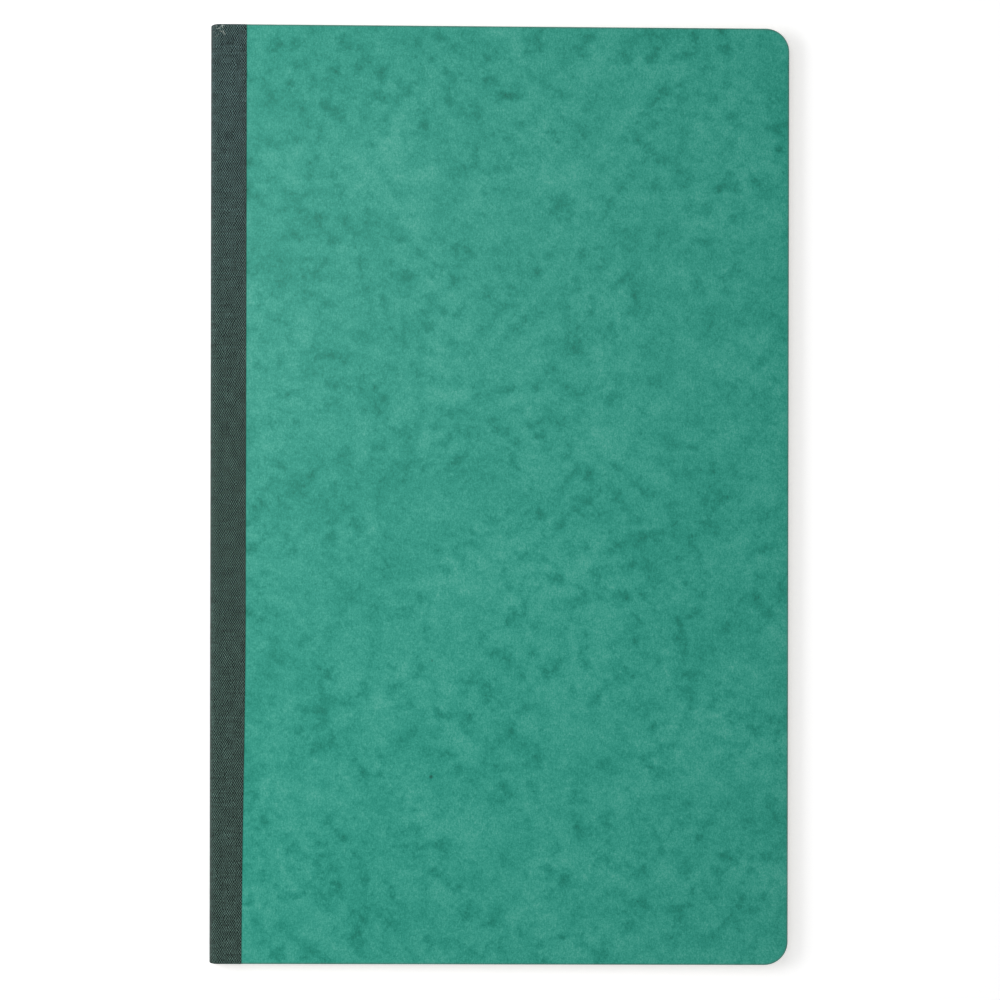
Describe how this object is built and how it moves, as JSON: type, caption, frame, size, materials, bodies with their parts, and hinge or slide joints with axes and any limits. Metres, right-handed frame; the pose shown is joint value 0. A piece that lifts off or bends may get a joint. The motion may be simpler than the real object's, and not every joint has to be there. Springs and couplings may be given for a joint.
{
  "type": "ledger book",
  "caption": "Slim sewn account book with mottled green pressboard covers, a dark cloth tape over the back, rounded fore-edge corners and ruled leaves that turn on the fold",
  "frame": {"origin": "the centre of the bounding box's bottom face, under the back cover", "axes": "+X from the spine to the fore-edge, +Y up the page to the head, +Z out of the front cover"},
  "size_m": [0.197, 0.32, 0.0062],
  "materials": {
    "pressboard": "glazed, mottled green pressboard",
    "tape_cloth": "plain-woven dark grey-green linen tape",
    "ledger_paper": "smooth cream ledger paper with ruled columns",
    "end_paper": "plain cream paper",
    "linen_thread": "undyed linen sewing thread"
  },
  "bodies": {
    "back_cover": {"back_board": "pressboard", "back_pastedown": "end_paper", "tape_back_hinge": "tape_cloth", "tape_back_flap": "tape_cloth"},
    "leaf_40": {"leaf_40": "ledger_paper"},
    "leaf_39": {"leaf_39": "ledger_paper"},
    "leaf_38": {"leaf_38": "ledger_paper"},
    "leaf_37": {"leaf_37": "ledger_paper"},
    "leaf_36": {"leaf_36": "ledger_paper"},
    "leaf_35": {"leaf_35": "ledger_paper"},
    "leaf_34": {"leaf_34": "ledger_paper"},
    "leaf_33": {"leaf_33": "ledger_paper"},
    "leaf_32": {"leaf_32": "ledger_paper"},
    "leaf_31": {"leaf_31": "ledger_paper"},
    "leaf_30": {"leaf_30": "ledger_paper"},
    "leaf_29": {"leaf_29": "ledger_paper"},
    "leaf_28": {"leaf_28": "ledger_paper"},
    "leaf_27": {"leaf_27": "ledger_paper"},
    "leaf_26": {"leaf_26": "ledger_paper"},
    "leaf_25": {"leaf_25": "ledger_paper"},
    "leaf_24": {"leaf_24": "ledger_paper"},
    "leaf_23": {"leaf_23": "ledger_paper"},
    "leaf_22": {"leaf_22": "ledger_paper"},
    "leaf_21": {"leaf_21": "ledger_paper", "section_folds": "ledger_paper", "sewing_thread": "linen_thread", "endpaper_fold": "end_paper", "tape_spine": "tape_cloth"},
    "leaf_20": {"leaf_20": "ledger_paper"},
    "leaf_19": {"leaf_19": "ledger_paper"},
    "leaf_18": {"leaf_18": "ledger_paper"},
    "leaf_17": {"leaf_17": "ledger_paper"},
    "leaf_16": {"leaf_16": "ledger_paper"},
    "leaf_15": {"leaf_15": "ledger_paper"},
    "leaf_14": {"leaf_14": "ledger_paper"},
    "leaf_13": {"leaf_13": "ledger_paper"},
    "leaf_12": {"leaf_12": "ledger_paper"},
    "leaf_11": {"leaf_11": "ledger_paper"},
    "leaf_10": {"leaf_10": "ledger_paper"},
    "leaf_09": {"leaf_09": "ledger_paper"},
    "leaf_08": {"leaf_08": "ledger_paper"},
    "leaf_07": {"leaf_07": "ledger_paper"},
    "leaf_06": {"leaf_06": "ledger_paper"},
    "leaf_05": {"leaf_05": "ledger_paper"},
    "leaf_04": {"leaf_04": "ledger_paper"},
    "leaf_03": {"leaf_03": "ledger_paper"},
    "leaf_02": {"leaf_02": "ledger_paper"},
    "leaf_01": {"leaf_01": "ledger_paper"},
    "front_cover": {"front_board": "pressboard", "front_pastedown": "end_paper", "tape_front_hinge": "tape_cloth", "tape_front_flap": "tape_cloth"}
  },
  "joints": [
    {"name": "front_cover_open", "type": "hinge", "parent": "leaf_01", "child": "front_cover", "pos_m": [-0.0954, 0, 0.0031], "axis": [0, -1, 0], "range_deg": [0, 180], "deforming": ["tape_front_hinge"]},
    {"name": "centre_spread_open", "type": "hinge", "parent": "leaf_21", "child": "leaf_20", "pos_m": [-0.0954, 0, 0.0031], "axis": [0, -1, 0], "range_deg": [0, 180], "deforming": ["section_folds", "sewing_thread", "endpaper_fold", "tape_spine"]},
    {"name": "back_cover_open", "type": "hinge", "parent": "back_cover", "child": "leaf_40", "pos_m": [-0.0954, 0, 0.0031], "axis": [0, -1, 0], "range_deg": [0, 180], "deforming": ["tape_back_hinge"]},
    {"name": "leaf_01_turn", "type": "hinge", "parent": "leaf_02", "child": "leaf_01", "pos_m": [-0.0954, 0, 0.0031], "axis": [0, -1, 0], "range_deg": [0, 180]},
    {"name": "leaf_02_turn", "type": "hinge", "parent": "leaf_03", "child": "leaf_02", "pos_m": [-0.0954, 0, 0.0031], "axis": [0, -1, 0], "range_deg": [0, 180]},
    {"name": "leaf_03_turn", "type": "hinge", "parent": "leaf_04", "child": "leaf_03", "pos_m": [-0.0954, 0, 0.0031], "axis": [0, -1, 0], "range_deg": [0, 180]},
    {"name": "leaf_04_turn", "type": "hinge", "parent": "leaf_05", "child": "leaf_04", "pos_m": [-0.0954, 0, 0.0031], "axis": [0, -1, 0], "range_deg": [0, 180]},
    {"name": "leaf_05_turn", "type": "hinge", "parent": "leaf_06", "child": "leaf_05", "pos_m": [-0.0954, 0, 0.0031], "axis": [0, -1, 0], "range_deg": [0, 180]},
    {"name": "leaf_06_turn", "type": "hinge", "parent": "leaf_07", "child": "leaf_06", "pos_m": [-0.0954, 0, 0.0031], "axis": [0, -1, 0], "range_deg": [0, 180]},
    {"name": "leaf_07_turn", "type": "hinge", "parent": "leaf_08", "child": "leaf_07", "pos_m": [-0.0954, 0, 0.0031], "axis": [0, -1, 0], "range_deg": [0, 180]},
    {"name": "leaf_08_turn", "type": "hinge", "parent": "leaf_09", "child": "leaf_08", "pos_m": [-0.0954, 0, 0.0031], "axis": [0, -1, 0], "range_deg": [0, 180]},
    {"name": "leaf_09_turn", "type": "hinge", "parent": "leaf_10", "child": "leaf_09", "pos_m": [-0.0954, 0, 0.0031], "axis": [0, -1, 0], "range_deg": [0, 180]},
    {"name": "leaf_10_turn", "type": "hinge", "parent": "leaf_11", "child": "leaf_10", "pos_m": [-0.0954, 0, 0.0031], "axis": [0, -1, 0], "range_deg": [0, 180]},
    {"name": "leaf_11_turn", "type": "hinge", "parent": "leaf_12", "child": "leaf_11", "pos_m": [-0.0954, 0, 0.0031], "axis": [0, -1, 0], "range_deg": [0, 180]},
    {"name": "leaf_12_turn", "type": "hinge", "parent": "leaf_13", "child": "leaf_12", "pos_m": [-0.0954, 0, 0.0031], "axis": [0, -1, 0], "range_deg": [0, 180]},
    {"name": "leaf_13_turn", "type": "hinge", "parent": "leaf_14", "child": "leaf_13", "pos_m": [-0.0954, 0, 0.0031], "axis": [0, -1, 0], "range_deg": [0, 180]},
    {"name": "leaf_14_turn", "type": "hinge", "parent": "leaf_15", "child": "leaf_14", "pos_m": [-0.0954, 0, 0.0031], "axis": [0, -1, 0], "range_deg": [0, 180]},
    {"name": "leaf_15_turn", "type": "hinge", "parent": "leaf_16", "child": "leaf_15", "pos_m": [-0.0954, 0, 0.0031], "axis": [0, -1, 0], "range_deg": [0, 180]},
    {"name": "leaf_16_turn", "type": "hinge", "parent": "leaf_17", "child": "leaf_16", "pos_m": [-0.0954, 0, 0.0031], "axis": [0, -1, 0], "range_deg": [0, 180]},
    {"name": "leaf_17_turn", "type": "hinge", "parent": "leaf_18", "child": "leaf_17", "pos_m": [-0.0954, 0, 0.0031], "axis": [0, -1, 0], "range_deg": [0, 180]},
    {"name": "leaf_18_turn", "type": "hinge", "parent": "leaf_19", "child": "leaf_18", "pos_m": [-0.0954, 0, 0.0031], "axis": [0, -1, 0], "range_deg": [0, 180]},
    {"name": "leaf_19_turn", "type": "hinge", "parent": "leaf_20", "child": "leaf_19", "pos_m": [-0.0954, 0, 0.0031], "axis": [0, -1, 0], "range_deg": [0, 180]},
    {"name": "leaf_21_turn", "type": "hinge", "parent": "leaf_22", "child": "leaf_21", "pos_m": [-0.0954, 0, 0.0031], "axis": [0, -1, 0], "range_deg": [0, 180]},
    {"name": "leaf_22_turn", "type": "hinge", "parent": "leaf_23", "child": "leaf_22", "pos_m": [-0.0954, 0, 0.0031], "axis": [0, -1, 0], "range_deg": [0, 180]},
    {"name": "leaf_23_turn", "type": "hinge", "parent": "leaf_24", "child": "leaf_23", "pos_m": [-0.0954, 0, 0.0031], "axis": [0, -1, 0], "range_deg": [0, 180]},
    {"name": "leaf_24_turn", "type": "hinge", "parent": "leaf_25", "child": "leaf_24", "pos_m": [-0.0954, 0, 0.0031], "axis": [0, -1, 0], "range_deg": [0, 180]},
    {"name": "leaf_25_turn", "type": "hinge", "parent": "leaf_26", "child": "leaf_25", "pos_m": [-0.0954, 0, 0.0031], "axis": [0, -1, 0], "range_deg": [0, 180]},
    {"name": "leaf_26_turn", "type": "hinge", "parent": "leaf_27", "child": "leaf_26", "pos_m": [-0.0954, 0, 0.0031], "axis": [0, -1, 0], "range_deg": [0, 180]},
    {"name": "leaf_27_turn", "type": "hinge", "parent": "leaf_28", "child": "leaf_27", "pos_m": [-0.0954, 0, 0.0031], "axis": [0, -1, 0], "range_deg": [0, 180]},
    {"name": "leaf_28_turn", "type": "hinge", "parent": "leaf_29", "child": "leaf_28", "pos_m": [-0.0954, 0, 0.0031], "axis": [0, -1, 0], "range_deg": [0, 180]},
    {"name": "leaf_29_turn", "type": "hinge", "parent": "leaf_30", "child": "leaf_29", "pos_m": [-0.0954, 0, 0.0031], "axis": [0, -1, 0], "range_deg": [0, 180]},
    {"name": "leaf_30_turn", "type": "hinge", "parent": "leaf_31", "child": "leaf_30", "pos_m": [-0.0954, 0, 0.0031], "axis": [0, -1, 0], "range_deg": [0, 180]},
    {"name": "leaf_31_turn", "type": "hinge", "parent": "leaf_32", "child": "leaf_31", "pos_m": [-0.0954, 0, 0.0031], "axis": [0, -1, 0], "range_deg": [0, 180]},
    {"name": "leaf_32_turn", "type": "hinge", "parent": "leaf_33", "child": "leaf_32", "pos_m": [-0.0954, 0, 0.0031], "axis": [0, -1, 0], "range_deg": [0, 180]},
    {"name": "leaf_33_turn", "type": "hinge", "parent": "leaf_34", "child": "leaf_33", "pos_m": [-0.0954, 0, 0.0031], "axis": [0, -1, 0], "range_deg": [0, 180]},
    {"name": "leaf_34_turn", "type": "hinge", "parent": "leaf_35", "child": "leaf_34", "pos_m": [-0.0954, 0, 0.0031], "axis": [0, -1, 0], "range_deg": [0, 180]},
    {"name": "leaf_35_turn", "type": "hinge", "parent": "leaf_36", "child": "leaf_35", "pos_m": [-0.0954, 0, 0.0031], "axis": [0, -1, 0], "range_deg": [0, 180]},
    {"name": "leaf_36_turn", "type": "hinge", "parent": "leaf_37", "child": "leaf_36", "pos_m": [-0.0954, 0, 0.0031], "axis": [0, -1, 0], "range_deg": [0, 180]},
    {"name": "leaf_37_turn", "type": "hinge", "parent": "leaf_38", "child": "leaf_37", "pos_m": [-0.0954, 0, 0.0031], "axis": [0, -1, 0], "range_deg": [0, 180]},
    {"name": "leaf_38_turn", "type": "hinge", "parent": "leaf_39", "child": "leaf_38", "pos_m": [-0.0954, 0, 0.0031], "axis": [0, -1, 0], "range_deg": [0, 180]},
    {"name": "leaf_39_turn", "type": "hinge", "parent": "leaf_40", "child": "leaf_39", "pos_m": [-0.0954, 0, 0.0031], "axis": [0, -1, 0], "range_deg": [0, 180]}
  ]
}
